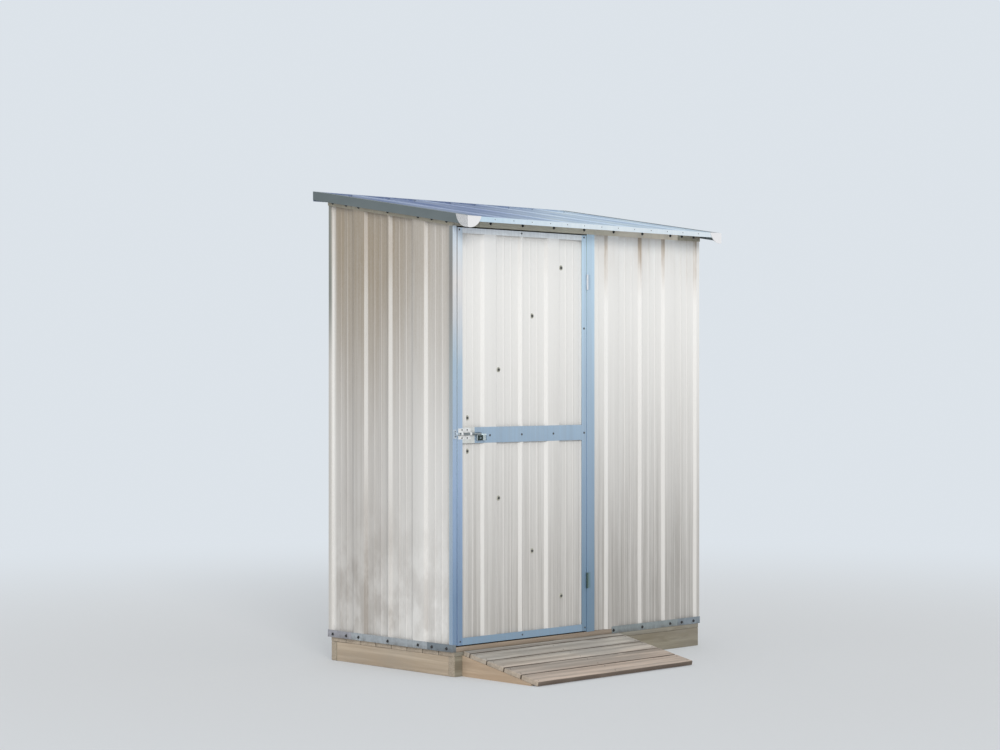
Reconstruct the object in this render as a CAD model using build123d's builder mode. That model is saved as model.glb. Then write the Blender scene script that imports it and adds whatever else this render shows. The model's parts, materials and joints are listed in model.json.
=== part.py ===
from build123d import *
import math
import os

os.makedirs("parts", exist_ok=True)

# Millimetres. X runs to the right along the front, Y to the back, Z up from the ground.
# The origin is on the ground, in the middle of the box that holds the whole shed.

# Plan of the steel shed and of the ramp in front of it.
shed_width = 1524
shed_depth = 773
ramp_reach = 429
back_overhang = 78
front_overhang = 108
side_overhang = 19

# Levels.
floor_height = 100
front_rest_height = 1749.5
roof_slope = 9

# Sheet and folded sections.
sheet_thickness = 1
rib_height = 12
wide_crest = 68
narrow_crest = 6
crest_pitch = 185
swage_spread = 42
swage_height = 1.6
swage_half_top = 2
swage_half_foot = 5
flange_thickness = 1.2
channel_depth = 18
channel_height = 30
corner_leg = 150
lap = 0.8
running_gap = 0.3

# Doorway and door.
jamb_face = 22
door_left = 27.5
door_right = 780.5
hinge_jamb_left = 785.5
hinge_jamb_right = 832
door_bottom = 25
door_top = 1707
head_flange = 37
stile_face = 27
top_rail_face = 22
bottom_rail_face = 29
mid_rail_bottom = 838
mid_rail_top = 902
sill_height = 20
sill_right = 942

# Timber.
board_thickness = 19
rim_thickness = 35
base_inset = 10
ramp_left = 54
ramp_right = 975
ramp_board_pitch = 98.7
ramp_board_gap = 4.7
ramp_underside = 84.6

left_x = -shed_width / 2
right_x = shed_width / 2
front_y = (ramp_reach - shed_depth - back_overhang) / 2
back_y = front_y + shed_depth
slope_tan = math.tan(math.radians(roof_slope))
slope_cos = math.cos(math.radians(roof_slope))
slope_sin = math.sin(math.radians(roof_slope))
pan_inset = flange_thickness + rib_height

# The plane that the pans of the roof sheets rest on, at the front wall.
rest_origin = Vector(0, front_y, floor_height + front_rest_height)
rest_plane = Plane(origin=rest_origin, x_dir=(1, 0, 0), z_dir=(0, -slope_sin, slope_cos))


def rest_height(y):
    """Height of the resting plane of the roof at a depth y."""
    return floor_height + front_rest_height + (y - front_y) * slope_tan


def save(piece, name):
    """Label a finished piece and write it to its own file."""
    piece.part.label = name
    export_step(piece.part, f"parts/{name}.step")


def ribbed_points(start, end, crest, wide, lands=(False, False), tucked=0):
    """Outer line of a ribbed sheet between two places along it.

    Wide and narrow crests alternate, with two small swages in each pan. A land carries
    the top of the crest nearest an end on to that end. The height of the first crest is
    less by tucked, where the next sheet laps over it.
    """
    points = []
    beyond = 1
    height = rib_height - tucked
    while crest < end + crest_pitch:
        half = (wide_crest if wide else narrow_crest) / 2
        if lands[0] and not points:
            points += [(start - beyond, height)]
        else:
            points += [(crest - half - height, 0), (crest - half, height)]
        if lands[1] and crest + crest_pitch > end:
            points += [(end + beyond, height)]
            break
        points += [(crest + half, height), (crest + half + height, 0)]
        next_half = (narrow_crest if wide else wide_crest) / 2
        pan_middle = crest + (crest_pitch + half - next_half) / 2
        for swage in (pan_middle - swage_spread / 2, pan_middle + swage_spread / 2):
            points += [(swage - swage_half_foot, 0), (swage - swage_half_top, swage_height)]
            points += [(swage + swage_half_top, swage_height), (swage + swage_half_foot, 0)]
        crest += crest_pitch
        wide = not wide
        height = rib_height
    inside = [p for p in points if start < p[0] < end]
    return [(start, level(points, start)), *inside, (end, level(points, end))]


def level(points, place):
    """Height of a line of points at one place along it."""
    for (u0, v0), (u1, v1) in zip(points, points[1:]):
        if u0 <= place <= u1:
            return v0 + (v1 - v0) * (place - u0) / (u1 - u0)
    return 0


def sheet_section(points):
    """Closed outline of a thin sheet below its outer line, in the active sketch."""
    inner = [(u, v - sheet_thickness) for u, v in reversed(points)]
    Polygon(*points, *inner, align=None)


def channel_section(depth, height):
    """Outline of a U channel open upwards, with its web along the bottom."""
    Polygon(
        (0, 0),
        (depth, 0),
        (depth, height),
        (depth - flange_thickness, height),
        (depth - flange_thickness, flange_thickness),
        (flange_thickness, flange_thickness),
        (flange_thickness, height),
        (0, height),
        align=None,
    )


def corner_strip(along, back, near, far):
    """Outline of an L strip round a corner, between two distances from the outer faces."""
    Polygon(
        (near, near),
        (along, near),
        (along, far),
        (far, far),
        (far, back),
        (near, back),
        align=None,
    )


# Timber base: a rim of boards on edge, joists inside it, and a deck of boards on top.
rim_height = floor_height - board_thickness
base_left = left_x + base_inset
base_right = right_x - base_inset
base_back = back_y - base_inset
base_width = base_right - base_left
base_depth = base_back - front_y

middle_y = (front_y + base_back) / 2

for name, y in (
    ("base_rim_front", front_y + rim_thickness / 2),
    ("base_rim_back", base_back - rim_thickness / 2),
):
    with BuildPart() as rim:
        with BuildSketch():
            with Locations((0, y)):
                Rectangle(base_width, rim_thickness)
        extrude(amount=rim_height)
    save(rim, name)

# The joists run to the back, and the outer two close the sides of the base.
joist_count = 5
joist_spacing = (base_width - rim_thickness) / (joist_count - 1)
with BuildPart() as joists:
    with BuildSketch():
        with Locations((0, middle_y)):
            with GridLocations(joist_spacing, 0, joist_count, 1):
                Rectangle(rim_thickness, base_depth - 2 * rim_thickness)
    extrude(amount=rim_height)
save(joists, "base_joists")

deck_boards = 8
deck_gap = 3
deck_pitch = (base_depth + deck_gap) / deck_boards
with BuildPart() as deck:
    with BuildSketch(Plane.XY.offset(rim_height)):
        with Locations((0, middle_y)):
            with GridLocations(0, deck_pitch, 1, deck_boards):
                Rectangle(base_width, deck_pitch - deck_gap)
    extrude(amount=board_thickness)
save(deck, "floor_deck")

# Ramp: wedge stringers on the ground with boards across them.
ramp_angle = math.atan(ramp_underside / ramp_reach)
ramp_cos = math.cos(ramp_angle)
ramp_sin = math.sin(ramp_angle)
ramp_length = ramp_reach / ramp_cos
stringer_width = 35
stringer_toe = 8

stringer_end = ramp_reach * (1 - stringer_toe / ramp_underside)
with BuildPart() as stringers:
    for edge in (ramp_left, (ramp_left + ramp_right - stringer_width) / 2, ramp_right - stringer_width):
        with BuildSketch(Plane.YZ.offset(left_x + edge)):
            Polygon(
                (front_y, 0),
                (front_y, ramp_underside),
                (front_y - stringer_end, stringer_toe),
                (front_y - stringer_end, 0),
                align=None,
            )
        extrude(amount=stringer_width)
save(stringers, "ramp_stringers")

# The boards' plane starts at the wall on top of the stringers and runs down to the front.
ramp_plane = Plane(
    origin=(left_x + ramp_left, front_y, ramp_underside),
    x_dir=(1, 0, 0),
    z_dir=(0, -ramp_sin, ramp_cos),
)
ramp_width = ramp_right - ramp_left
whole_boards = 4
board_face = ramp_board_pitch - ramp_board_gap
with BuildPart() as ramp_boards:
    with BuildSketch(ramp_plane):
        for row in range(whole_boards):
            far_edge = -ramp_length + row * ramp_board_pitch + board_thickness * ramp_sin
            with Locations((ramp_width / 2, far_edge + board_face / 2)):
                Rectangle(ramp_width, board_face)
        near_edge = -ramp_length + whole_boards * ramp_board_pitch + board_thickness * ramp_sin
        with Locations((ramp_width / 2, near_edge / 2)):
            Rectangle(ramp_width, -near_edge)
    extrude(amount=board_thickness)
    split(bisect_by=Plane(origin=(0, front_y, 0), z_dir=(0, -1, 0)), keep=Keep.TOP)
save(ramp_boards, "ramp_boards")

# Timber sill under the door and the jamb, between the corner piece and the front channel.
with BuildPart() as sill:
    with BuildSketch(Plane.XY.offset(floor_height)):
        with Locations((left_x + (channel_depth + sill_right) / 2, front_y + channel_depth / 2)):
            Rectangle(sill_right - channel_depth, channel_depth)
    extrude(amount=sill_height)
save(sill, "door_sill")

# The four corners, anticlockwise from the front left, and the way each side runs from there.
sides = {
    "front": ((left_x, front_y), (1, 0, 0), shed_width),
    "right": ((right_x, front_y), (0, 1, 0), shed_depth),
    "back": ((right_x, back_y), (-1, 0, 0), shed_width),
    "left": ((left_x, back_y), (0, -1, 0), shed_depth),
}
side_names = list(sides)


# Base channels: U sections that the wall sheets stand in, screwed down round the floor.
def base_channel(side, start, end):
    corner, along, _ = sides[side]
    direction = Vector(*along)
    inward = Vector(-along[1], along[0], 0)
    origin = Vector(*corner, floor_height) + direction * start
    with BuildPart() as channel:
        with BuildSketch(Plane(origin=origin, x_dir=inward, z_dir=direction)):
            channel_section(channel_depth, channel_height)
        extrude(amount=end - start)
    save(channel, f"base_channel_{side}")


base_channel("front", sill_right, shed_width - corner_leg)
base_channel("right", corner_leg, shed_depth - corner_leg)
base_channel("back", corner_leg, shed_width - corner_leg)
base_channel("left", corner_leg, shed_depth - corner_leg)


# Corner pieces join the channels. They stand proud by the sheet that laps over them.
with BuildPart() as base_corners:
    for side, (corner, along, _) in sides.items():
        near_leg = channel_depth if side == "front" else corner_leg
        foot = Plane(origin=(*corner, floor_height), x_dir=along, z_dir=(0, 0, 1))
        with BuildSketch(foot):
            corner_strip(near_leg, corner_leg, 0, channel_depth)
        extrude(amount=flange_thickness)
        with BuildSketch(foot):
            corner_strip(near_leg, corner_leg, -lap, flange_thickness)
        extrude(amount=channel_height)
        if near_leg > channel_depth:
            with BuildSketch(foot):
                corner_strip(near_leg, corner_leg, channel_depth - flange_thickness, channel_depth)
            extrude(amount=channel_height)
save(base_corners, "base_corners")

# The top corners are the same pieces upside down, with their webs in the plane of the roof.
corner_foot = rest_height(front_y) - 2 * head_flange
corner_reach = rest_height(back_y) - rest_height(front_y) + 3 * head_flange
with BuildPart() as corner_hollows:
    for corner, along, _ in sides.values():
        with BuildSketch(Plane(origin=(*corner, corner_foot), x_dir=along, z_dir=(0, 0, 1))):
            corner_strip(corner_leg, corner_leg, flange_thickness, channel_depth - flange_thickness)
        extrude(amount=corner_reach)
    split(bisect_by=rest_plane.offset(-flange_thickness), keep=Keep.BOTTOM)
with BuildPart() as top_corners:
    for corner, along, _ in sides.values():
        with BuildSketch(Plane(origin=(*corner, corner_foot), x_dir=along, z_dir=(0, 0, 1))):
            corner_strip(corner_leg, corner_leg, -lap, channel_depth)
        extrude(amount=corner_reach)
    add(corner_hollows.part, mode=Mode.SUBTRACT)
    split(bisect_by=rest_plane, keep=Keep.BOTTOM)
    split(bisect_by=rest_plane.offset(-head_flange * slope_cos), keep=Keep.TOP)
save(top_corners, "top_corners")

# Top channels: U sections open downwards, whose webs lie in the plane of the roof.
web_drop = flange_thickness / slope_cos
for name, near_y, far_y in (
    ("top_channel_front", front_y, front_y + channel_depth),
    ("top_channel_back", back_y, back_y - channel_depth),
):
    step = math.copysign(flange_thickness, far_y - near_y)
    lower = rest_height(near_y) - head_flange
    with BuildPart() as top_channel:
        with BuildSketch(Plane.YZ.offset(left_x + corner_leg)):
            Polygon(
                (near_y, lower),
                (near_y, rest_height(near_y)),
                (far_y, rest_height(far_y)),
                (far_y, lower),
                (far_y - step, lower),
                (far_y - step, rest_height(far_y - step) - web_drop),
                (near_y + step, rest_height(near_y + step) - web_drop),
                (near_y + step, lower),
                align=None,
            )
        extrude(amount=shed_width - 2 * corner_leg)
    save(top_channel, name)


def slope_section(y):
    """Plane square to the slope at a depth y, with x along the front and y off the roof."""
    return Plane(
        origin=(0, y, rest_height(y)),
        x_dir=(1, 0, 0),
        z_dir=(0, -slope_cos, -slope_sin),
    )


def trim_ends(first_y, last_y):
    """Cut the active part off upright at two depths."""
    split(bisect_by=Plane(origin=(0, first_y, 0), z_dir=(0, 1, 0)), keep=Keep.TOP)
    split(bisect_by=Plane(origin=(0, last_y, 0), z_dir=(0, 1, 0)), keep=Keep.BOTTOM)


run_over = 40
for name, outer_x, turn in (("left", left_x, 1), ("right", right_x, -1)):
    with BuildPart() as side_channel:
        with BuildSketch(slope_section(back_y)):
            depth = head_flange * slope_cos
            Polygon(
                (outer_x, -depth),
                (outer_x, 0),
                (outer_x + turn * channel_depth, 0),
                (outer_x + turn * channel_depth, -depth),
                (outer_x + turn * (channel_depth - flange_thickness), -depth),
                (outer_x + turn * (channel_depth - flange_thickness), -flange_thickness),
                (outer_x + turn * flange_thickness, -flange_thickness),
                (outer_x + turn * flange_thickness, -depth),
                align=None,
            )
        extrude(amount=shed_depth + run_over)
        trim_ends(front_y + corner_leg, back_y - corner_leg)
    save(side_channel, f"top_channel_{name}")

# Wall sheets: thin ribbed steel, standing in the channels with their crests against them.
edge = flange_thickness + running_gap
sheet_foot = floor_height + flange_thickness
web_clearance = 2


def wall_sheet(name, side, points, foot, top=None):
    """A wall sheet from its outer line, cut level at the top or else along the roof."""
    corner, along, _ = sides[side]
    inward = Vector(-along[1], along[0], 0)
    origin = Vector(*corner, foot) + inward * pan_inset
    with BuildPart() as sheet:
        with BuildSketch(Plane(origin=origin, x_dir=along, z_dir=(0, 0, -1))):
            sheet_section(points)
        if top is None:
            extrude(amount=foot - rest_height(back_y))
            split(bisect_by=rest_plane.offset(-web_clearance), keep=Keep.BOTTOM)
        else:
            extrude(amount=foot - top)
    save(sheet, name)


first_side_crest = 12
last_land = (True, True)
side_edge = edge + sheet_thickness
side_points = ribbed_points(side_edge, shed_depth - side_edge, first_side_crest, False, last_land)
wall_sheet("wall_left", "left", side_points, sheet_foot)
wall_sheet("wall_right", "right", side_points, sheet_foot)

front_crest = 768
front_left = hinge_jamb_left + 2 * flange_thickness
front_points = ribbed_points(front_left, shed_width - edge, front_crest, False, (False, True))
front_sheet_top = rest_height(front_y) - web_clearance
wall_sheet("wall_front", "front", front_points, floor_height + sill_height, front_sheet_top)

# The back is two sheets, and the second is tucked under the last crest of the first.
tuck = sheet_thickness + running_gap
lap_start = -2
middle_crest = shed_width / 2
lap_end = middle_crest + narrow_crest / 2 + rib_height - tuck
back_crest = middle_crest - 4 * crest_pitch
back_top = rest_height(back_y - pan_inset - sheet_thickness) - web_clearance
over_points = ribbed_points(edge, lap_end, back_crest, False, (True, False))
under_points = ribbed_points(
    middle_crest + lap_start, shed_width - edge, middle_crest, False, (False, True), tuck
)
wall_sheet("wall_back_right", "back", over_points, sheet_foot, back_top)
wall_sheet("wall_back_left", "back", under_points, sheet_foot, back_top)

# Angles up three inside corners, which the sheets are screwed to.
angle_leg = 25
angle_inset = pan_inset + sheet_thickness
with BuildPart() as corner_angles:
    for side in ("right", "back", "left"):
        corner, along, _ = sides[side]
        leg_end = angle_inset + angle_leg
        with BuildSketch(Plane(origin=(*corner, sheet_foot), x_dir=along, z_dir=(0, 0, 1))):
            corner_strip(leg_end, leg_end, angle_inset, angle_inset + flange_thickness)
        extrude(amount=rest_height(back_y) - sheet_foot)
    split(bisect_by=rest_plane.offset(-web_clearance), keep=Keep.BOTTOM)
save(corner_angles, "corner_angles")

# Latch jamb: the folded post at the front left corner, closed against the left wall.
post_foot = floor_height + channel_height
post_top = rest_height(front_y) - head_flange
post_side = 20
with BuildPart() as latch_jamb:
    with BuildSketch(Plane(origin=(left_x, front_y, post_foot))):
        Polygon(
            (0, 0),
            (jamb_face, 0),
            (jamb_face, channel_depth),
            (jamb_face - flange_thickness, channel_depth),
            (jamb_face - flange_thickness, flange_thickness),
            (flange_thickness, flange_thickness),
            (flange_thickness, post_side),
            (0, post_side),
            align=None,
        )
    extrude(amount=post_top - post_foot)
save(latch_jamb, "latch_jamb")

# Hinge jamb: a folded channel whose right return closes against the front sheet.
jamb_foot = floor_height + sill_height
jamb_width = hinge_jamb_right - hinge_jamb_left
with BuildPart() as hinge_jamb:
    with BuildSketch(Plane(origin=(left_x + hinge_jamb_left, front_y, jamb_foot))):
        Polygon(
            (0, 0),
            (jamb_width, 0),
            (jamb_width, pan_inset),
            (jamb_width - flange_thickness, pan_inset),
            (jamb_width - flange_thickness, flange_thickness),
            (flange_thickness, flange_thickness),
            (flange_thickness, channel_depth),
            (0, channel_depth),
            align=None,
        )
    extrude(amount=post_top - jamb_foot)
save(hinge_jamb, "hinge_jamb")

# Door: a ribbed sheet held in folded channels, with a flat rail across the middle.
door_foot = floor_height + door_bottom
door_head = floor_height + door_top
door_height = door_head - door_foot


def door_plane(height):
    """Level plane whose origin is at the left end of the front wall's face."""
    return Plane(origin=(left_x, front_y, height))


for name, edge_x, turn in (("door_stile_latch", door_left, 1), ("door_stile_hinge", door_right, -1)):
    inner_x = edge_x + turn * stile_face
    web_x = edge_x + turn * flange_thickness
    with BuildPart() as stile:
        with BuildSketch(door_plane(door_foot)):
            Polygon(
                (edge_x, 0),
                (inner_x, 0),
                (inner_x, flange_thickness),
                (web_x, flange_thickness),
                (web_x, channel_depth - flange_thickness),
                (inner_x, channel_depth - flange_thickness),
                (inner_x, channel_depth),
                (edge_x, channel_depth),
                align=None,
            )
        extrude(amount=door_height)
    save(stile, name)

rail_left = door_left + stile_face
rail_right = door_right - stile_face
for name, edge_z, inner_z in (
    ("door_rail_top", door_head, door_head - top_rail_face),
    ("door_rail_bottom", door_foot, door_foot + bottom_rail_face),
):
    web_z = edge_z + math.copysign(flange_thickness, inner_z - edge_z)
    with BuildPart() as rail:
        with BuildSketch(Plane.YZ.offset(left_x + rail_left)):
            Polygon(
                (front_y, edge_z),
                (front_y, inner_z),
                (front_y + flange_thickness, inner_z),
                (front_y + flange_thickness, web_z),
                (front_y + channel_depth - flange_thickness, web_z),
                (front_y + channel_depth - flange_thickness, inner_z),
                (front_y + channel_depth, inner_z),
                (front_y + channel_depth, edge_z),
                align=None,
            )
        extrude(amount=rail_right - rail_left)
    save(rail, name)

backing_right = 122
mid_height = (mid_rail_bottom + mid_rail_top) / 2
for name, from_x, to_x in (
    ("door_rail_mid", backing_right, rail_right),
    ("bolt_backing_plate", rail_left, backing_right),
):
    with BuildPart() as strip:
        with BuildSketch(door_plane(floor_height + mid_rail_bottom)):
            with Locations(((from_x + to_x) / 2, flange_thickness / 2)):
                Rectangle(to_x - from_x, flange_thickness)
        extrude(amount=mid_rail_top - mid_rail_bottom)
    save(strip, name)

door_crest = 28
cladding_gap = flange_thickness + running_gap
cladding_points = ribbed_points(door_left + cladding_gap, door_right - cladding_gap, door_crest, False)
wall_sheet("door_cladding", "front", cladding_points, door_foot + cladding_gap, door_head - cladding_gap)

# Braces: shallow channels behind the sheet, from the middle of the latch side to both hinge corners.
brace_face = 40
brace_depth = 12
brace_start = 83
upper_rise = 1.15
lower_rise = -1.13
upper_start = 941
lower_start = 802
brace_run = 1500
brace_end_gap = 2
back_face = front_y + pan_inset + sheet_thickness
with BuildPart() as braces:
    for start_z, rise in ((upper_start, upper_rise), (lower_start, lower_rise)):
        line = Vector(1, 0, rise).normalized()
        origin = Vector(left_x + brace_start, back_face, floor_height + start_z)
        brace_plane = Plane(origin=origin, x_dir=line, z_dir=(0, 1, 0))
        with BuildSketch(brace_plane.offset(brace_depth - flange_thickness)):
            Rectangle(2 * brace_run, brace_face)
        extrude(amount=flange_thickness)
        with BuildSketch(brace_plane):
            with GridLocations(0, brace_face - flange_thickness, 1, 2):
                Rectangle(2 * brace_run, flange_thickness)
        extrude(amount=brace_depth - flange_thickness)
    # The ends are cut upright beside the stiles, and level beside the rails.
    with BuildSketch(Plane(origin=(left_x, back_face, floor_height), x_dir=(1, 0, 0), z_dir=(0, -1, 0))):
        with Locations(((rail_left + rail_right) / 2, (door_bottom + door_top) / 2)):
            Rectangle(
                rail_right - rail_left - 2 * brace_end_gap,
                door_height - 2 * bottom_rail_face - 2 * brace_end_gap,
            )
    extrude(amount=-2 * brace_depth, mode=Mode.INTERSECT)
save(braces, "door_braces")

# Butt hinges: the pin stands in front of the gap, so that the door can swing right back.
pin_x = (door_right + hinge_jamb_left) / 2
pin_y = -5
pin_radius = 2.3
bore_radius = 2.6
knuckle_radius = 4.4
leaf_height = 65
leaf_thickness = 1.2
leaf_face = 20
leaf_root = 4
leaf_inset = 2
knuckle_gap = 0.6
third = leaf_height / 3
hinge_feet = [floor_height + foot for foot in (207, 1476)]
with BuildPart() as jamb_leaves:
    for foot in hinge_feet:
        for knuckle_foot in (foot, foot + 2 * third + knuckle_gap):
            with BuildSketch(door_plane(knuckle_foot)):
                with Locations((pin_x, pin_y)):
                    Circle(knuckle_radius)
                Polygon(
                    (pin_x, pin_y - leaf_thickness),
                    (hinge_jamb_left + leaf_root, -leaf_thickness),
                    (hinge_jamb_left + leaf_root, -leaf_thickness / 2),
                    (pin_x + leaf_thickness, -leaf_thickness / 2),
                    align=None,
                )
            extrude(amount=third - knuckle_gap)
        with BuildSketch(door_plane(foot)):
            with Locations((pin_x, pin_y)):
                Circle(pin_radius)
            with Locations((hinge_jamb_left + leaf_face / 2, -leaf_thickness / 2)):
                Rectangle(leaf_face, leaf_thickness)
        extrude(amount=leaf_height)
save(jamb_leaves, "hinge_jamb_leaves")

with BuildPart() as door_leaves:
    for foot in hinge_feet:
        with BuildSketch(door_plane(foot + third)):
            with Locations((pin_x, pin_y)):
                Circle(knuckle_radius)
            Polygon(
                (door_right, leaf_inset),
                (door_right, pin_y + leaf_inset),
                (pin_x, pin_y),
                (door_right + leaf_thickness, leaf_inset),
                align=None,
            )
            with Locations((pin_x, pin_y)):
                Circle(bore_radius, mode=Mode.SUBTRACT)
        extrude(amount=third)
        with BuildSketch(door_plane(foot)):
            with Locations((door_right + leaf_thickness / 2, channel_depth / 2)):
                Rectangle(leaf_thickness, channel_depth - leaf_inset)
        extrude(amount=leaf_height)
save(door_leaves, "hinge_door_leaves")

# Pad bolt: a plate with two straps on the door, a sliding rod with a lug, and a keeper on the jamb.
rod_height = 875.5
rod_radius = 4.5
rod_forward = -9
rod_clearance = 0.4
plate_thickness = 1.5
strap_thickness = 1.8
strap_width = 10
strap_foot = 7
bolt_travel = 24.5
thrown_tip = 2


def strap_outline():
    """A strap bent over the rod, seen from its end, with its feet on the face behind it."""
    outer = rod_radius + rod_clearance + strap_thickness
    with Locations((rod_forward, 0)):
        Circle(outer)
    with Locations(((rod_forward - plate_thickness) / 2, 0)):
        Rectangle(-rod_forward - plate_thickness, 2 * outer)
    foot_height = 2 * (outer + strap_foot)
    with Locations((-plate_thickness - strap_thickness / 2, 0)):
        Rectangle(strap_thickness, foot_height)
    with Locations((rod_forward, 0)):
        Circle(rod_radius + rod_clearance, mode=Mode.SUBTRACT)


def rod_plane(x):
    """Upright plane across the rod: x out of the shed is negative, y up from the rod."""
    return Plane(
        origin=(left_x + x, front_y, floor_height + rod_height),
        x_dir=(0, 1, 0),
        z_dir=(1, 0, 0),
    )


def bolt_base(name, low_x, high_x, low_z, high_z, straps):
    """A screwed plate on the front face, between two corners, with straps over the rod."""
    with BuildPart() as base:
        with BuildSketch(Plane(origin=(left_x, front_y, floor_height), x_dir=(1, 0, 0), z_dir=(0, -1, 0))):
            with Locations(((low_x + high_x) / 2, (low_z + high_z) / 2)):
                Rectangle(high_x - low_x, high_z - low_z)
        extrude(amount=plate_thickness)
        for strap in straps:
            with BuildSketch(rod_plane(strap)):
                strap_outline()
            extrude(amount=strap_width)
    save(base, name)


bolt_base("bolt_plate", low_x=30, high_x=100, low_z=854, high_z=898, straps=(36, 84))
bolt_base("bolt_keeper", low_x=2, high_x=21, low_z=857, high_z=894, straps=(6,))

# The rod is drawn back here, just clear of the keeper.
drawn_tip = thrown_tip + bolt_travel
rod_length = 124
rod_chamfer = 1
lug_length = 34
lug_overhang = 12
lug_thickness = 3
lug_drop = 27
lug_grip = 16
eye_radius = 4.5
eye_height = 10
with BuildPart() as bolt_rod:
    with BuildSketch(rod_plane(drawn_tip)):
        with Locations((rod_forward, 0)):
            Circle(rod_radius)
    extrude(amount=rod_length)
    chamfer(bolt_rod.faces().sort_by(Axis.X)[0].edges(), rod_chamfer)
    lug_left = drawn_tip + rod_length - lug_length + lug_overhang
    lug_plane = Plane(
        origin=(left_x, front_y + rod_forward - lug_thickness / 2, floor_height + rod_height),
        x_dir=(1, 0, 0),
        z_dir=(0, -1, 0),
    )
    with BuildSketch(lug_plane):
        with Locations((lug_left + lug_length / 2, -lug_drop / 2)):
            Rectangle(lug_length, lug_drop)
        with Locations((lug_left + lug_length / 2, -lug_drop + eye_height)):
            Circle(eye_radius, mode=Mode.SUBTRACT)
    extrude(amount=-lug_thickness)
    with BuildSketch(lug_plane):
        with Locations((lug_left + lug_length - lug_thickness / 2, -lug_drop / 2)):
            Rectangle(lug_thickness, lug_drop)
    extrude(amount=lug_grip)
save(bolt_rod, "bolt_rod")

# Roof: two ribbed sheets down the slope, lapped on the middle crest.
roof_front = front_y - front_overhang
roof_back = back_y + back_overhang
roof_half = shed_width / 2 + side_overhang
sheet_reach = roof_half - flange_thickness - lap
closure = flange_thickness + running_gap
roof_lap_end = narrow_crest / 2 + rib_height - tuck
left_roof = ribbed_points(-sheet_reach, roof_lap_end, -4 * crest_pitch, False)
right_roof = ribbed_points(lap_start, sheet_reach, 0, False, (False, False), tuck)
for name, points in (("roof_sheet_left", left_roof), ("roof_sheet_right", right_roof)):
    with BuildPart() as roof_sheet:
        raised = [(u, v + sheet_thickness) for u, v in points]
        with BuildSketch(slope_section(roof_back + run_over)):
            sheet_section(raised)
        extrude(amount=roof_back - roof_front + 3 * run_over)
        trim_ends(roof_front + closure, roof_back - closure)
    save(roof_sheet, name)

# Flashings: barges down both sides, a fascia along the front and a capping along the back.
rib_top = sheet_thickness + rib_height
barge_drop = 22.5
barge_leg = 42
for name, turn in (("left", -1), ("right", 1)):
    outer = turn * roof_half
    with BuildPart() as barge:
        with BuildSketch(slope_section(roof_back + run_over)):
            Polygon(
                (outer, -barge_drop),
                (outer, rib_top + flange_thickness),
                (outer - turn * barge_leg, rib_top + flange_thickness),
                (outer - turn * barge_leg, rib_top),
                (outer - turn * flange_thickness, rib_top),
                (outer - turn * flange_thickness, -barge_drop),
                align=None,
            )
        extrude(amount=roof_back - roof_front + 3 * run_over)
        trim_ends(roof_front, roof_back)
    save(barge, f"barge_{name}")

fascia_low = floor_height + 1725
fascia_leg = 24
fascia_half = roof_half - flange_thickness
fascia_inner = roof_front + flange_thickness
fascia_top = rest_height(roof_front) + rib_top / slope_cos
with BuildPart() as fascia:
    with BuildSketch(Plane.YZ.offset(-fascia_half)):
        Polygon(
            (roof_front, fascia_low),
            (roof_front, fascia_top),
            (fascia_inner, fascia_top),
            (fascia_inner, rest_height(fascia_inner)),
            (roof_front + fascia_leg, rest_height(roof_front + fascia_leg)),
            (roof_front + fascia_leg, rest_height(roof_front + fascia_leg) - web_drop),
            (fascia_inner, rest_height(fascia_inner) - web_drop),
            (fascia_inner, fascia_low),
            align=None,
        )
    extrude(amount=2 * fascia_half)
save(fascia, "fascia_front")

capping_drop = 28
capping_leg = 35
capping_half = roof_half - barge_leg
capping_inner = roof_back - flange_thickness
with BuildPart() as capping:
    with BuildSketch(Plane.YZ.offset(-fascia_half)):
        Polygon(
            (roof_back, rest_height(roof_back) - capping_drop),
            (roof_back, rest_height(roof_back) + rib_top / slope_cos),
            (capping_inner, rest_height(capping_inner) + rib_top / slope_cos),
            (capping_inner, rest_height(roof_back) - capping_drop),
            align=None,
        )
    extrude(amount=2 * fascia_half)
    with BuildSketch(Plane.YZ.offset(-capping_half)):
        leg_end = roof_back - capping_leg
        Polygon(
            (roof_back, rest_height(roof_back) + rib_top / slope_cos),
            (roof_back, rest_height(roof_back) + (rib_top + flange_thickness) / slope_cos),
            (leg_end, rest_height(leg_end) + (rib_top + flange_thickness) / slope_cos),
            (leg_end, rest_height(leg_end) + rib_top / slope_cos),
            align=None,
        )
    extrude(amount=2 * capping_half)
save(capping, "capping_back")

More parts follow.
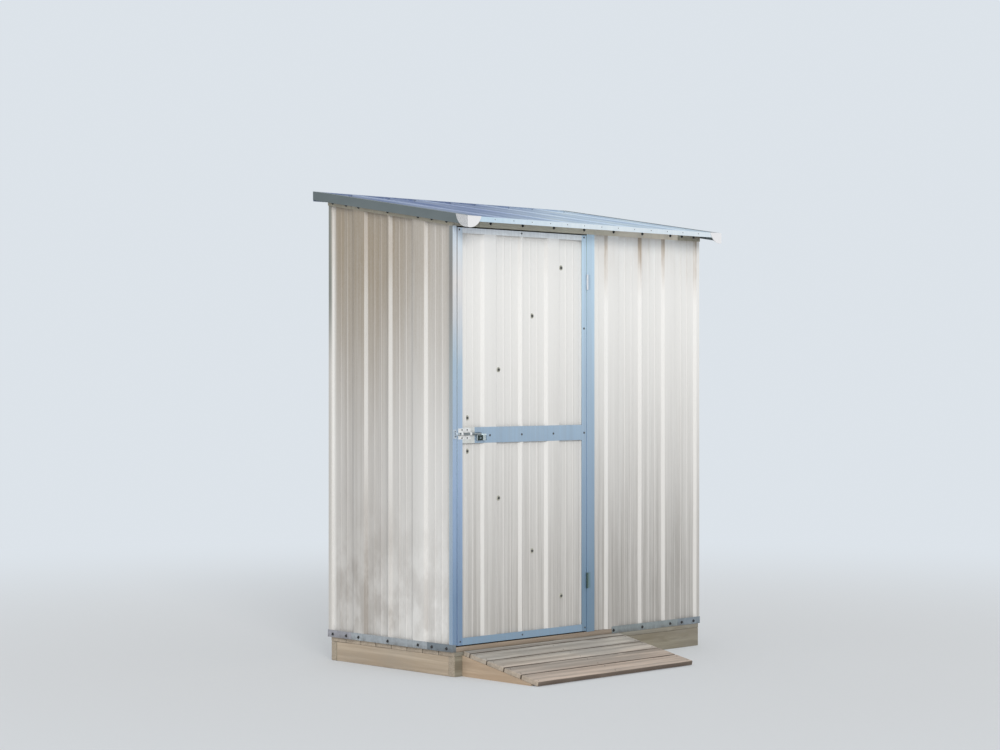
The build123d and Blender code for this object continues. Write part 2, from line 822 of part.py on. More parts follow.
# Moulded caps over the two front corners of the roof, each two rounded leaves round the corner.
cap_front = 74
cap_side = 68
cap_drop = 46
cap_thickness = 1.6
bulge_out = 0.72
front_bulge = 0.69
side_bulge = 0.8
cap_top = rest_height(roof_front) + (rib_top + flange_thickness) / slope_cos
with BuildPart() as roof_caps:
    for turn in (1, -1):
        corner_x = -turn * roof_half
        with BuildSketch(Plane(origin=(corner_x, roof_front, cap_top), x_dir=(1, 0, 0), z_dir=(0, -1, 0))):
            with BuildLine():
                Line((0, -cap_drop), (0, 0))
                Line((0, 0), (turn * cap_front, 0))
                ThreePointArc(
                    (turn * cap_front, 0),
                    (turn * cap_front * bulge_out, -cap_drop * front_bulge),
                    (0, -cap_drop),
                )
            make_face()
        extrude(amount=cap_thickness)
        with BuildSketch(Plane(origin=(corner_x, roof_front, cap_top), x_dir=(0, 1, 0), z_dir=(1, 0, 0))):
            with BuildLine():
                far = cap_side * slope_tan
                Line((0, -cap_drop), (0, 0))
                Line((0, 0), (cap_side, far))
                ThreePointArc(
                    (cap_side, far),
                    (cap_side * bulge_out, far - cap_drop * side_bulge),
                    (0, -cap_drop),
                )
            make_face()
        extrude(amount=-turn * cap_thickness)
        with BuildSketch(Plane(origin=(corner_x, roof_front, cap_top - cap_drop))):
            with Locations((-turn * cap_thickness / 2, -cap_thickness / 2)):
                Rectangle(cap_thickness, cap_thickness)
        extrude(amount=cap_drop)
save(roof_caps, "roof_caps")
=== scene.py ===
import json
import math
import random

import bmesh
import bpy
from mathutils import Matrix, Vector


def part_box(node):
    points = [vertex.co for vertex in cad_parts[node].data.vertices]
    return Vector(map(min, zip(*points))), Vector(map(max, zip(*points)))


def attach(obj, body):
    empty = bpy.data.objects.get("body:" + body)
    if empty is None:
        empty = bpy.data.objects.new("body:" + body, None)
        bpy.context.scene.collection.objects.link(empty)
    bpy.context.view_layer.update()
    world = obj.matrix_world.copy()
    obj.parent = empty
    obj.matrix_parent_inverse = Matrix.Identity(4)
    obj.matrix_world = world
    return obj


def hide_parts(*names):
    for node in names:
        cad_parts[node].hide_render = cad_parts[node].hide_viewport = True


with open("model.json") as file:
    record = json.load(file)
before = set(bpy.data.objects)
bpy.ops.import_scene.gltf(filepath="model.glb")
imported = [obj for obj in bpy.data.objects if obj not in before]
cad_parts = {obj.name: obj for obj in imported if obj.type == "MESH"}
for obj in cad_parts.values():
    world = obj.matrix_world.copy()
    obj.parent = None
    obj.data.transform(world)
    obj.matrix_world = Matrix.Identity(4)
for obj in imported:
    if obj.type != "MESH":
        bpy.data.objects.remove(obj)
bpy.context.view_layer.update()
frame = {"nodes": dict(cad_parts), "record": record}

# Timber base. A rim of softwood boards stands on edge on the ground, with joists between its
# two long boards and a deck nailed across them. The wood is untreated and has gone dull.


class Shading:
    """Short ways to add nodes to a shader tree. Each gives back the output that matters."""

    def __init__(self, tree):
        self.tree = tree

    def add(self, kind, output=0, settings=(), **inputs):
        node = self.tree.nodes.new(kind)
        for key, value in dict(settings).items():
            setattr(node, key, value)
        for key, value in inputs.items():
            socket = node.inputs[int(key[1:])] if key[0] == "_" else node.inputs[key.replace("_", " ")]
            if isinstance(value, bpy.types.NodeSocket):
                self.tree.links.new(value, socket)
            else:
                socket.default_value = value
        return node.outputs[output]

    def place(self, turn=(0, 0, 0)):
        """Object coordinates in metres, turned if need be."""
        here = self.add("ShaderNodeTexCoord", "Object")
        return self.add("ShaderNodeMapping", 0, Vector=here, Rotation=turn) if any(turn) else here

    def facing(self, axis):
        """How far the surface faces along an axis of the object, from -1 to 1."""
        return self.along(self.add("ShaderNodeTexCoord", "Normal"), axis)

    def along(self, vector, axis):
        return self.add("ShaderNodeSeparateXYZ", axis, Vector=vector)

    def noise(self, vector, scale, detail=3, rough=0.5, bend=0):
        """Noise from 0 to 1, with its scale along each axis in cells a metre."""
        vector = self.add("ShaderNodeMapping", 0, Vector=vector, Scale=scale)
        return self.add(
            "ShaderNodeTexNoise", "Fac",
            Vector=vector, Scale=1, Detail=detail, Roughness=rough, Distortion=bend,
        )

    def maths(self, operation, a, b=0.0, c=0.0):
        return self.add("ShaderNodeMath", 0, {"operation": operation}, _0=a, _1=b, _2=c)

    def times(self, *values):
        total = values[0]
        for value in values[1:]:
            total = self.maths("MULTIPLY", total, value)
        return total

    def fade(self, value, low, high, to_low=0.0, to_high=1.0):
        """A soft step from one number to another as a value goes from low to high."""
        return self.add(
            "ShaderNodeMapRange", 0, {"interpolation_type": "SMOOTHSTEP"},
            Value=value, From_Min=low, From_Max=high, To_Min=to_low, To_Max=to_high,
        )

    def mix(self, share, first, second, mode="MIX"):
        settings = {"data_type": "RGBA", "blend_type": mode}
        return self.add("ShaderNodeMix", 2, settings, _0=share, _6=solid(first), _7=solid(second))

    def stops(self, value, *pairs):
        """Colours at values from 0 to 1, with fades between them."""
        node = self.tree.nodes.new("ShaderNodeValToRGB")
        self.tree.links.new(value, node.inputs[0])
        for _ in pairs[2:]:
            node.color_ramp.elements.new(0.5)
        for element, (position, colour) in zip(node.color_ramp.elements, pairs):
            element.position = position
            element.color = solid(colour)
        return node.outputs[0]

    def bump(self, height, distance, strength=1.0):
        return self.add("ShaderNodeBump", 0, Height=height, Distance=distance, Strength=strength)

    def group(self, group, **inputs):
        """Place a node group and give back its outputs."""
        self.add("ShaderNodeGroup", 0, {"node_tree": group}, **inputs)
        return self.tree.nodes[-1].outputs


def solid(colour):
    """A colour as four numbers, or a socket as it is."""
    return (*colour, 1) if isinstance(colour, tuple) and len(colour) == 3 else colour


def effect(name, inputs, outputs):
    """A new node group: its nodes, its inputs and a function that links its outputs."""
    group = bpy.data.node_groups.new(name, "ShaderNodeTree")
    kinds = {"colour": "NodeSocketColor", "value": "NodeSocketFloat", "place": "NodeSocketVector"}
    for title, kind in inputs.items():
        group.interface.new_socket(name=title, in_out="INPUT", socket_type=kinds[kind])
    for title, kind in outputs.items():
        group.interface.new_socket(name=title, in_out="OUTPUT", socket_type=kinds[kind])
    way_in = group.nodes.new("NodeGroupInput").outputs
    way_out = group.nodes.new("NodeGroupOutput").inputs

    def give(**values):
        for title, value in values.items():
            group.links.new(value, way_out[title])
        return group

    return Shading(group), way_in, give


def new_finish(name, **fixed):
    """A new material with fixed values on its shader, its nodes, and a way to feed the shader."""
    material = bpy.data.materials.new(name)
    material.use_nodes = True
    shader = material.node_tree.nodes["Principled BSDF"]

    def feed(**values):
        for title, value in values.items():
            socket = shader.inputs[title.replace("_", " ")]
            if isinstance(value, bpy.types.NodeSocket):
                material.node_tree.links.new(value, socket)
            else:
                socket.default_value = solid(value)

    feed(**fixed)
    return material, Shading(material.node_tree), feed


wood, given, give = effect(
    "board_grain",
    {"Place": "place", "Pale": "colour", "Dark": "colour", "Weather": "value"},
    {"Colour": "colour", "Height": "value", "Roughness": "value"},
)
stretched = wood.add("ShaderNodeMapping", 0, Vector=given["Place"], Scale=(2.2, 9, 9))
knots = wood.add("ShaderNodeTexVoronoi", "Distance", Vector=stretched, Scale=1)
round_knots = wood.fade(knots, 0.02, 0.30, 1, 0)
sideways = wood.add(
    "ShaderNodeCombineXYZ", 0, X=0, Y=wood.times(round_knots, 0.045), Z=wood.times(round_knots, 0.03)
)
bent = wood.add("ShaderNodeVectorMath", 0, {"operation": "ADD"}, _0=given["Place"], _1=sideways)
late_wood = wood.noise(bent, (1.3, 36, 36), detail=5, rough=0.62, bend=0.35)
fibres = wood.noise(given["Place"], (9, 420, 420), detail=3, rough=0.7)
patches = wood.noise(given["Place"], (2.5, 8, 8), detail=4, rough=0.6)
colour = wood.mix(wood.fade(late_wood, 0.36, 0.62), given["Pale"], given["Dark"])
colour = wood.mix(wood.times(wood.fade(fibres, 0.4, 0.7), 0.45), colour, given["Dark"])
colour = wood.mix(wood.times(wood.fade(knots, 0.03, 0.10, 1, 0), 0.75), colour, (0.10, 0.06, 0.035))
colour = wood.mix(wood.times(wood.fade(patches, 0.38, 0.68), given["Weather"]), colour, (0.36, 0.345, 0.32))
board_grain = give(
    Colour=colour,
    Height=wood.maths("ADD", wood.times(late_wood, 0.7), wood.times(fibres, 0.3)),
    Roughness=wood.fade(fibres, 0.2, 0.8, 0.72, 0.92),
)


def timber_finish(
    name, pale, dark, weather, first=0.0, pitch=1.0, gap=0.0, turn=(0, 0, 0), foot=None, grain=0.0011,
    tones=(0.84, 1.1), front=None,
):
    """Timber in boards side by side from a first edge at a pitch, each with its own grain and tone.

    The grain runs along X before the turn. Edges beside a gap are dark, and the boards
    nearest the foot of a slope may have a pale colour of their own. Edges that look to
    the front may be darkened by a tint, which is painted shade.
    """
    material, wood, feed = new_finish(name, Specular_IOR_Level=0.25)
    here = wood.place(turn)
    across = wood.maths("DIVIDE", wood.maths("SUBTRACT", wood.along(here, "Y"), first), pitch)
    board = wood.maths("FLOOR", across)
    shift = wood.add("ShaderNodeTexWhiteNoise", "Color", {"noise_dimensions": "1D"}, W=board)
    spread = (4, 4, 4)
    moved = wood.add("ShaderNodeVectorMath", 0, {"operation": "MULTIPLY_ADD"}, _0=shift, _1=spread, _2=here)
    if foot:
        up = wood.fade(across, 0.6, 3.4)
        pale = wood.mix(up, foot, pale)
        dark = wood.mix(up, tuple(0.6 * part for part in foot), dark)
        weather = wood.fade(across, 0.4, 2.4, weather * 0.4, weather)
    grained = wood.group(board_grain, Place=moved, Pale=solid(pale), Dark=solid(dark), Weather=weather)
    colour = wood.mix(1.0, grained["Colour"], wood.fade(wood.along(shift, "X"), 0, 1, *tones), "MULTIPLY")
    if gap:
        half = (1 - gap / pitch) / 2
        middle = wood.maths("ABSOLUTE", wood.maths("SUBTRACT", wood.maths("FRACT", across), half))
        edge = wood.fade(middle, half - 0.035, half - 0.005, 0, 0.85)
        colour = wood.mix(edge, colour, (0.075, 0.055, 0.042))
    rings = wood.noise(moved, (30, 60, 150), detail=4, bend=1.5)
    end_grain = wood.mix(wood.fade(rings, 0.4, 0.6), (0.42, 0.35, 0.275), (0.56, 0.47, 0.37))
    cut = wood.facing("Y" if abs(turn[2]) > 1 else "X")
    colour = wood.mix(wood.fade(wood.maths("ABSOLUTE", cut), 0.6, 0.9, 0, 0.7), colour, end_grain)
    # The tint on faces that look to the front is painted shade.
    if front:
        colour = wood.mix(wood.fade(wood.facing("Y"), -0.9, -0.6, 1, 0), colour, front, "MULTIPLY")
    feed(Base_Color=colour, Roughness=grained["Roughness"], Normal=wood.bump(grained["Height"], grain))
    return material


body_of = {node: body for body, nodes in frame["record"]["behaviour"]["bodies"].items() for node in nodes}


def link_up(name, mesh, body):
    """A new object for a finished mesh, riding on a body and taking its finish from a slot."""
    piece = bpy.data.objects.new(name, mesh)
    bpy.context.scene.collection.objects.link(piece)
    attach(piece, body)
    return piece


def make_piece(name, node, material, fill, smooth=35):
    """A piece whose mesh a function fills, in the place of a CAD node."""
    mesh = bpy.data.meshes.new(name)
    form = bmesh.new()
    fill(form)
    bmesh.ops.recalc_face_normals(form, faces=form.faces)
    form.to_mesh(mesh)
    form.free()
    # A CAD mesh brings shading normals of its own, which do not fit its folds once they are rounded.
    if "custom_normal" in mesh.attributes:
        mesh.attributes.remove(mesh.attributes["custom_normal"])
    mesh.materials.append(material)
    mesh.shade_smooth()
    mesh.set_sharp_from_angle(angle=math.radians(smooth))
    piece = link_up(name, mesh, body_of[node])
    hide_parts(node)
    return piece


def saw_board(form, low, high, seed, length_axis=0, ease=0.0025, wander=0.0007, place=Matrix()):
    """One board between two corners, with eased edges that wander a little along its length."""
    draw = random.Random(seed)
    across = [axis for axis in range(3) if axis != length_axis]
    length = high[length_axis] - low[length_axis]
    steps = max(2, round(length / 0.09))
    soft = ease * 0.3
    end_ease = 0.6 * ease
    corner = [(0, ease), (soft, soft), (ease, 0)]
    turns = [((0, 0), corner), ((1, 0), corner[::-1]), ((1, 1), corner), ((0, 1), corner[::-1])]
    rings = []
    for step in range(-1, steps + 2):
        at = low[length_axis] + length * min(max(step, 0), steps) / steps
        at += {0: end_ease, steps: -end_ease}.get(step, 0)
        inset = end_ease if step in (-1, steps + 1) else 0
        drift = [abs(draw.uniform(-wander, wander)) for _ in range(4)]
        ring = []
        for sides, moves in turns:
            for move in moves:
                spot = [at, at, at]
                for axis, side, step_in, edge_drift in zip(across, sides, move, (drift[:2], drift[2:])):
                    inward = 1 - 2 * side
                    spot[axis] = (low, high)[side][axis] + inward * (step_in + inset + edge_drift[side])
                ring.append(form.verts.new(place @ Vector(spot)))
        rings.append(ring)
    for first, second in zip(rings, rings[1:]):
        for i in range(len(first)):
            j = (i + 1) % len(first)
            form.faces.new((first[i], first[j], second[j], second[i]))
    form.faces.new(rings[0])
    form.faces.new(rings[-1])


def take_mesh(form, node):
    """Fill a form with a CAD node's mesh, and join the corners that its faces have in common."""
    form.from_mesh(frame["nodes"][node].data)
    bmesh.ops.remove_doubles(form, verts=form.verts, dist=1e-5)


def boards_of(node):
    """Low and high corners of each separate board in a CAD node, from left to right or front to back."""
    form = bmesh.new()
    take_mesh(form, node)
    left = set(form.verts)
    boxes = []
    while left:
        waiting = [left.pop()]
        corners = []
        while waiting:
            vert = waiting.pop()
            corners.append(vert.co.copy())
            for other in (edge.other_vert(vert) for edge in vert.link_edges):
                if other in left:
                    left.remove(other)
                    waiting.append(other)
        low = Vector([min(corner[i] for corner in corners) for i in range(3)])
        high = Vector([max(corner[i] for corner in corners) for i in range(3)])
        boxes.append((low, high))
    form.free()
    return sorted(boxes, key=lambda box: (round(box[0].x, 3), round(box[0].y, 3)))


def saw_boards(node, name, material, seed, length_axis=0, ease=0.0025):
    """Boards with eased edges in the place of a CAD node's plain ones."""
    def fill(form):
        for number, (low, high) in enumerate(boards_of(node)):
            saw_board(form, low, high, seed + number, length_axis, ease)

    return make_piece(name, node, material, fill)


deck_boards = boards_of("floor_deck")
deck_pitch = deck_boards[1][0].y - deck_boards[0][0].y
floor_top = deck_boards[0][1].z
rim_wood = timber_finish("rim_wood", (0.37, 0.34, 0.265), (0.24, 0.21, 0.155), 0.35)
joist_wood = timber_finish(
    "joist_wood", (0.60, 0.50, 0.385), (0.46, 0.37, 0.275), 0.25,
    first=-0.9, pitch=0.3, turn=(0, 0, math.pi / 2),
)
# The deck's front edges are darkened with painted shade.
deck_wood = timber_finish(
    "deck_wood", (0.50, 0.43, 0.34), (0.36, 0.29, 0.22), 0.4, first=deck_boards[0][0].y, pitch=deck_pitch,
    tones=(0.95, 1.05), front=(0.60, 0.65, 0.665),
)
saw_boards("base_rim_front", "rim_board_front", rim_wood, 11)
saw_boards("base_rim_back", "rim_board_back", rim_wood, 12)
saw_boards("base_joists", "joist_boards", joist_wood, 20, length_axis=1)
saw_boards("floor_deck", "deck_planks", deck_wood, 40, ease=0.0012)


def head_tree(name, shape, sizes):
    """A tree that sets a head on every point, facing the way that the point's attribute says."""
    tree = bpy.data.node_groups.new(name, "GeometryNodeTree")
    tree.interface.new_socket(name="Geometry", in_out="INPUT", socket_type="NodeSocketGeometry")
    for title, size in sizes.items():
        socket = tree.interface.new_socket(name=title, in_out="INPUT", socket_type="NodeSocketFloat")
        socket.default_value = size
    tree.interface.new_socket(name="Material", in_out="INPUT", socket_type="NodeSocketMaterial")
    tree.interface.new_socket(name="Geometry", in_out="OUTPUT", socket_type="NodeSocketGeometry")
    way_in = tree.nodes.new("NodeGroupInput").outputs
    way_out = tree.nodes.new("NodeGroupOutput").inputs
    heads = Shading(tree)
    outward = heads.add("GeometryNodeInputNamedAttribute", 0, {"data_type": "FLOAT_VECTOR"}, Name="outward")
    facing = heads.add("FunctionNodeAlignRotationToVector", 0, {"axis": "Z"}, Vector=outward)
    turn = heads.add("FunctionNodeRandomValue", 1, {"data_type": "FLOAT"}, _2=0.0, _3=math.tau, Seed=7)
    spin = heads.add("FunctionNodeAxisAngleToRotation", 0, Axis=(0, 0, 1), Angle=turn)
    facing = heads.add(
        "FunctionNodeRotateRotation", 0, {"rotation_space": "LOCAL"}, Rotation=facing, Rotate_By=spin
    )
    points = heads.add("GeometryNodeMeshToPoints", 0, Mesh=way_in["Geometry"])
    placed = heads.add(
        "GeometryNodeInstanceOnPoints", 0, Points=points, Instance=shape(heads, way_in), Rotation=facing
    )
    real = heads.add("GeometryNodeRealizeInstances", 0, Geometry=placed)
    painted = heads.add("GeometryNodeSetMaterial", 0, Geometry=real, Material=way_in["Material"])
    tree.links.new(painted, way_out["Geometry"])
    return tree


def dome(heads, sizes):
    """A low dome, as on a nail, a rivet or a pan head screw."""
    ball = heads.add("GeometryNodeMeshUVSphere", 0, Segments=12, Rings=6, Radius=sizes["Radius"])
    squeeze = heads.maths("DIVIDE", sizes["Depth"], sizes["Radius"])
    flat = heads.add("ShaderNodeCombineXYZ", 0, X=1, Y=1, Z=squeeze)
    return heads.add("GeometryNodeTransform", 0, Geometry=ball, Scale=flat)


def set_heads(name, tree, body, material, places, **sizes):
    """Heads at places, each a point and the way it faces, as one plain mesh on a body."""
    points = bpy.data.meshes.new(name)
    points.from_pydata([place for place, _ in places], [], [])
    outward = points.attributes.new("outward", "FLOAT_VECTOR", "POINT")
    for entry, (_, facing) in zip(outward.data, places):
        entry.vector = facing
    holder = bpy.data.objects.new(name + "_points", points)
    bpy.context.scene.collection.objects.link(holder)
    modifier = holder.modifiers.new(name, "NODES")
    modifier.node_group = tree
    values = {**sizes, "Material": material}
    for item in tree.interface.items_tree:
        if item.in_out == "INPUT" and item.name in values:
            modifier[item.identifier] = values[item.name]
    mesh = bpy.data.meshes.new_from_object(holder.evaluated_get(bpy.context.evaluated_depsgraph_get()))
    bpy.data.objects.remove(holder)
    return link_up(name, mesh, body)


def metal_finish(name, dull, bright, metallic=0.4, roughness=(0.35, 0.55)):
    """Small plated or painted steel, mottled finely."""
    material, metal, feed = new_finish(name, Metallic=metallic)
    mottle = metal.noise(metal.place(), (700, 700, 700), detail=2)
    feed(
        Base_Color=metal.mix(metal.fade(mottle, 0.35, 0.7), solid(dull), solid(bright)),
        Roughness=metal.fade(mottle, 0.3, 0.7, *roughness),
    )
    return material


domes = head_tree("dome_heads", dome, {"Radius": 0.003, "Depth": 0.0014})
nail_iron = metal_finish("nail_iron", (0.09, 0.055, 0.04), (0.20, 0.16, 0.135), roughness=(0.6, 0.8))
nail_inset = 0.02
nail_sunk = 0.0003
deck_nails = []
for low, high in deck_boards:
    for joist_low, joist_high in boards_of("base_joists"):
        for y in (low.y + nail_inset, high.y - nail_inset):
            deck_nails.append((((joist_low.x + joist_high.x) / 2, y, high.z - nail_sunk), (0, 0, 1)))
set_heads("deck_nails", domes, "shed", nail_iron, deck_nails, Radius=0.0034, Depth=0.0008)

# Ramp. Four whole boards and one narrow one at the wall are nailed across three wedge
# stringers on the ground. They are rough sawn and have weathered to a pinkish grey brown.

ramp_low, ramp_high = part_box("ramp_boards")
ramp_drop = 0.0846
ramp_run = 0.429
board_height = 0.019
whole_boards = 4
board_pitch = 0.0987
board_gap = 0.0047
ramp_angle = math.atan(ramp_drop / ramp_run)
ramp_length = ramp_run / math.cos(ramp_angle)
ramp_head = Vector((ramp_low.x, ramp_high.y, ramp_drop))
ramp_place = Matrix.Translation(ramp_head) @ Matrix.Rotation(ramp_angle, 4, "X")
foot_edge = -ramp_length + board_height * math.sin(ramp_angle)
foot_in_turned = foot_edge + ramp_head.y * math.cos(ramp_angle) + ramp_head.z * math.sin(ramp_angle)
ramp_wood = timber_finish(
    "ramp_wood", (0.64, 0.60, 0.535), (0.33, 0.295, 0.255), 0.62, first=foot_in_turned, pitch=board_pitch,
    gap=board_gap, turn=(-ramp_angle, 0, 0), foot=(0.69, 0.56, 0.465), grain=0.0018, tones=(0.92, 1.06),
)
stringer_wood = timber_finish(
    "stringer_wood", (0.78, 0.61, 0.44), (0.58, 0.43, 0.30), 0.2, turn=(0, 0, math.pi / 2)
)


def fill_ramp(form):
    """Boards laid across the slope. The narrow one ends at the wall."""
    for row in range(whole_boards + 1):
        near = foot_edge + row * board_pitch
        far = near + board_pitch - board_gap if row < whole_boards else -board_height * math.sin(ramp_angle)
        low = Vector((0, near, 0))
        high = Vector((ramp_high.x - ramp_low.x, far, board_height))
        saw_board(form, low, high, 70 + row, ease=0.0022, wander=0.0011, place=ramp_place)


def dress(material, *nodes):
    """Give CAD nodes a finish."""
    for node in nodes:
        frame["nodes"][node].data.materials.clear()
        frame["nodes"][node].data.materials.append(material)


make_piece("ramp_planks", "ramp_boards", ramp_wood, fill_ramp)
dress(stringer_wood, "ramp_stringers")
ramp_up = ramp_place.to_3x3() @ Vector((0, 0, 1))
ramp_nail_inset = 0.018
ramp_nail_sunk = 0.001
ramp_nails = []
for low, high in boards_of("ramp_stringers"):
    for row in range(whole_boards):
        for across in (ramp_nail_inset, board_pitch - board_gap - ramp_nail_inset):
            up_slope = foot_edge + row * board_pitch + across
            spot = Vector(((low.x + high.x) / 2 - ramp_low.x, up_slope, board_height))
            ramp_nails.append((ramp_place @ spot - ramp_up * ramp_nail_sunk, ramp_up))
set_heads("ramp_nails", domes, "shed", nail_iron, ramp_nails, Radius=0.0036, Depth=0.0011)

# Door sill. A strip of timber, browner than the rest, is screwed to the deck's front edge
# under the door.

sill_wood = timber_finish("sill_wood", (0.46, 0.37, 0.285), (0.31, 0.24, 0.18), 0.3)
saw_boards("door_sill", "sill_strip", sill_wood, 90, ease=0.0015)

# Base channels. Galvanised U sections are screwed down round the floor, and darker corner
# pieces join them with two black screws each way. Dirt lies along their lower edges.

zinc, given, give = effect(
    "zinc_spangle", {"Place": "place", "Contrast": "value"}, {"Tone": "value", "Height": "value"}
)
flakes = zinc.add("ShaderNodeTexVoronoi", "Color", Vector=given["Place"], Scale=95)
cloud = zinc.noise(given["Place"], (7, 7, 7), detail=4)
tone = zinc.maths("ADD", zinc.times(zinc.along(flakes, "X"), 0.5), zinc.times(cloud, 0.5))
spread = zinc.times(zinc.maths("SUBTRACT", tone, 0.5), given["Contrast"])
zinc_spangle = give(Tone=zinc.maths("ADD", spread, 1.0), Height=cloud)

rain, given, give = effect(
    "rain_streaks", {"Place": "place"}, {"Broad": "value", "Lines": "value", "Specks": "value"}
)
runs = rain.noise(given["Place"], (34, 34, 0.9), detail=4, rough=0.6)
blotches = rain.noise(given["Place"], (5, 5, 1.6), detail=5, rough=0.65)
narrow = rain.noise(given["Place"], (88, 88, 0.8), detail=3, rough=0.6)
hairs = rain.noise(given["Place"], (260, 260, 3), detail=3, rough=0.6)
specks = rain.noise(given["Place"], (420, 420, 150), detail=2, rough=0.6)
broad = rain.maths("ADD", rain.times(runs, 0.4), rain.times(blotches, 0.6))
lines = rain.maths("ADD", rain.times(narrow, 0.62), rain.times(hairs, 0.38))
rain_streaks = give(
    Broad=rain.fade(broad, 0.37, 0.63),
    Lines=rain.fade(lines, 0.36, 0.64),
    Specks=rain.fade(specks, 0.35, 0.65),
)


def zinc_finish(name, tint, dirty_foot=-1.0, metallic=0.45, back=None):
    """Galvanised sheet that is dirty at a height and for two centimetres above it.

    Its tint may change toward the back of the shed.
    """
    material, zinc, feed = new_finish(name, Metallic=metallic)
    here = zinc.place()
    spangled = zinc.group(zinc_spangle, Place=here, Contrast=0.3)
    streaked = zinc.group(rain_streaks, Place=here)
    if back:
        tint = zinc.mix(zinc.fade(zinc.along(here, "Y"), 0.1, 0.4), tint, back)
    colour = zinc.mix(1.0, solid(tint), spangled["Tone"], "MULTIPLY")
    dirty = zinc.fade(zinc.along(here, "Z"), dirty_foot, dirty_foot + 0.02, 0.6, 0.15)
    colour = zinc.mix(zinc.times(dirty, streaked["Broad"]), colour, (0.10, 0.085, 0.07))
    feed(
        Base_Color=colour,
        Roughness=zinc.fade(spangled["Height"], 0.3, 0.7, 0.45, 0.62),
        Normal=zinc.bump(spangled["Height"], 0.0006),
    )
    return material


side_zinc = zinc_finish("side_channel_zinc", (0.45, 0.49, 0.52), floor_top)
front_zinc = zinc_finish("front_channel_zinc", (0.29, 0.33, 0.34), floor_top)
corner_zinc = zinc_finish("corner_zinc", (0.25, 0.29, 0.325), floor_top, back=(0.42, 0.42, 0.46))
dress(side_zinc, "base_channel_left", "base_channel_right", "base_channel_back")
dress(front_zinc, "base_channel_front")
dress(corner_zinc, "base_corners")


def disc(heads, sizes):
    """A flat round washer whose rim slopes in a little."""
    inner = heads.times(sizes["Radius"], 0.86)
    return heads.add(
        "GeometryNodeMeshCone", 0, Vertices=20, Depth=sizes["Depth"],
        Radius_Bottom=sizes["Radius"], Radius_Top=inner,
    )


def hexagon(heads, sizes):
    """A six sided head on a round flange, with its top edge chamfered."""
    side, body = sizes["Radius"], heads.times(sizes["Depth"], 0.75)
    flange = heads.add(
        "GeometryNodeMeshCone", 0, Vertices=16, Depth=heads.times(sizes["Depth"], 0.3),
        Radius_Bottom=heads.times(side, 1.22), Radius_Top=heads.times(side, 0.95),
    )
    shank = heads.add(
        "GeometryNodeMeshCone", 0, Vertices=6, Depth=body, Radius_Bottom=side, Radius_Top=side
    )
    top = heads.add(
        "GeometryNodeMeshCone", 0, Vertices=6, Depth=heads.times(sizes["Depth"], 0.25),
        Radius_Bottom=heads.times(side, 0.97), Radius_Top=heads.times(side, 0.78),
    )
    raised = heads.add("ShaderNodeCombineXYZ", 0, X=0, Y=0, Z=heads.times(body, 0.97))
    top = heads.add("GeometryNodeTransform", 0, Geometry=top, Translation=raised)
    whole = heads.tree.nodes.new("GeometryNodeJoinGeometry")
    for part in (flange, shank, top):
        heads.tree.links.new(part, whole.inputs[0])
    lift = heads.add("ShaderNodeCombineXYZ", 0, X=0, Y=0, Z=sizes["Lift"])
    return heads.add("GeometryNodeTransform", 0, Geometry=whole.outputs[0], Translation=lift)


washers = head_tree("flat_washers", disc, {"Radius": 0.0058, "Depth": 0.0012})
hexagons = head_tree("hexagon_heads", hexagon, {"Radius": 0.0042, "Depth": 0.0042, "Lift": 0.0011})


def drive_screws(name, body, head, washer, places, head_radius=0.0045, washer_radius=0.0068):
    """Hexagon screws on washers, at places that each give a point and the way it faces."""
    set_heads(name + "_washers", washers, body, washer, places, Radius=washer_radius)
    set_heads(name + "_heads", hexagons, body, head, places, Radius=head_radius)


black_paint = metal_finish("black_paint", (0.010, 0.010, 0.011), (0.04, 0.04, 0.042), metallic=0.1)
left_face, front_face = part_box("base_channel_left")[0].x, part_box("base_channel_front")[0].y
right_face, back_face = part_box("base_channel_right")[1].x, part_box("base_channel_back")[1].y
corner_proud = left_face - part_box("base_corners")[0].x
corner_leg = 0.150
first_rib = 0.213
rib_pitch = 0.185
rib_screws = [first_rib + rib_pitch * step for step in range(7)]
corner_screws = [1.400, 1.480]
side_screws = [0.035, 0.122, 0.206, 0.392, 0.576, 0.654, 0.741]


def standing_out(distance, length):
    """How far the face stands out at a distance along a wall, as it does where a corner piece is."""
    return corner_proud if min(distance, length - distance) < corner_leg else 0


def front_row(distances, height):
    """Places along the front at distances from the left."""
    width = right_face - left_face
    return [((left_face + x, front_face - standing_out(x, width), height), (0, -1, 0)) for x in distances]


def back_row(height):
    """Places along the whole back, which has corner pieces at both ends."""
    width = right_face - left_face
    distances = rib_screws + corner_screws + [width - x for x in corner_screws]
    return [((left_face + x, back_face + standing_out(x, width), height), (0, 1, 0)) for x in distances]


def side_rows(height_at):
    """Places along both sides, at a height that may change with the distance from the front."""
    places = []
    for y in side_screws:
        out = standing_out(y, back_face - front_face)
        places.append(((left_face - out, front_face + y, height_at(y)), (-1, 0, 0)))
        places.append(((right_face + out, front_face + y, height_at(y)), (1, 0, 0)))
    return places


channel_middle = 0.013
base_row = floor_top + channel_middle
past_door = rib_screws[4:]
base_places = front_row(past_door + corner_screws, base_row) + back_row(base_row)
base_places += side_rows(lambda y: base_row)
drive_screws("base_screws", "shed", black_paint, black_paint, base_places)
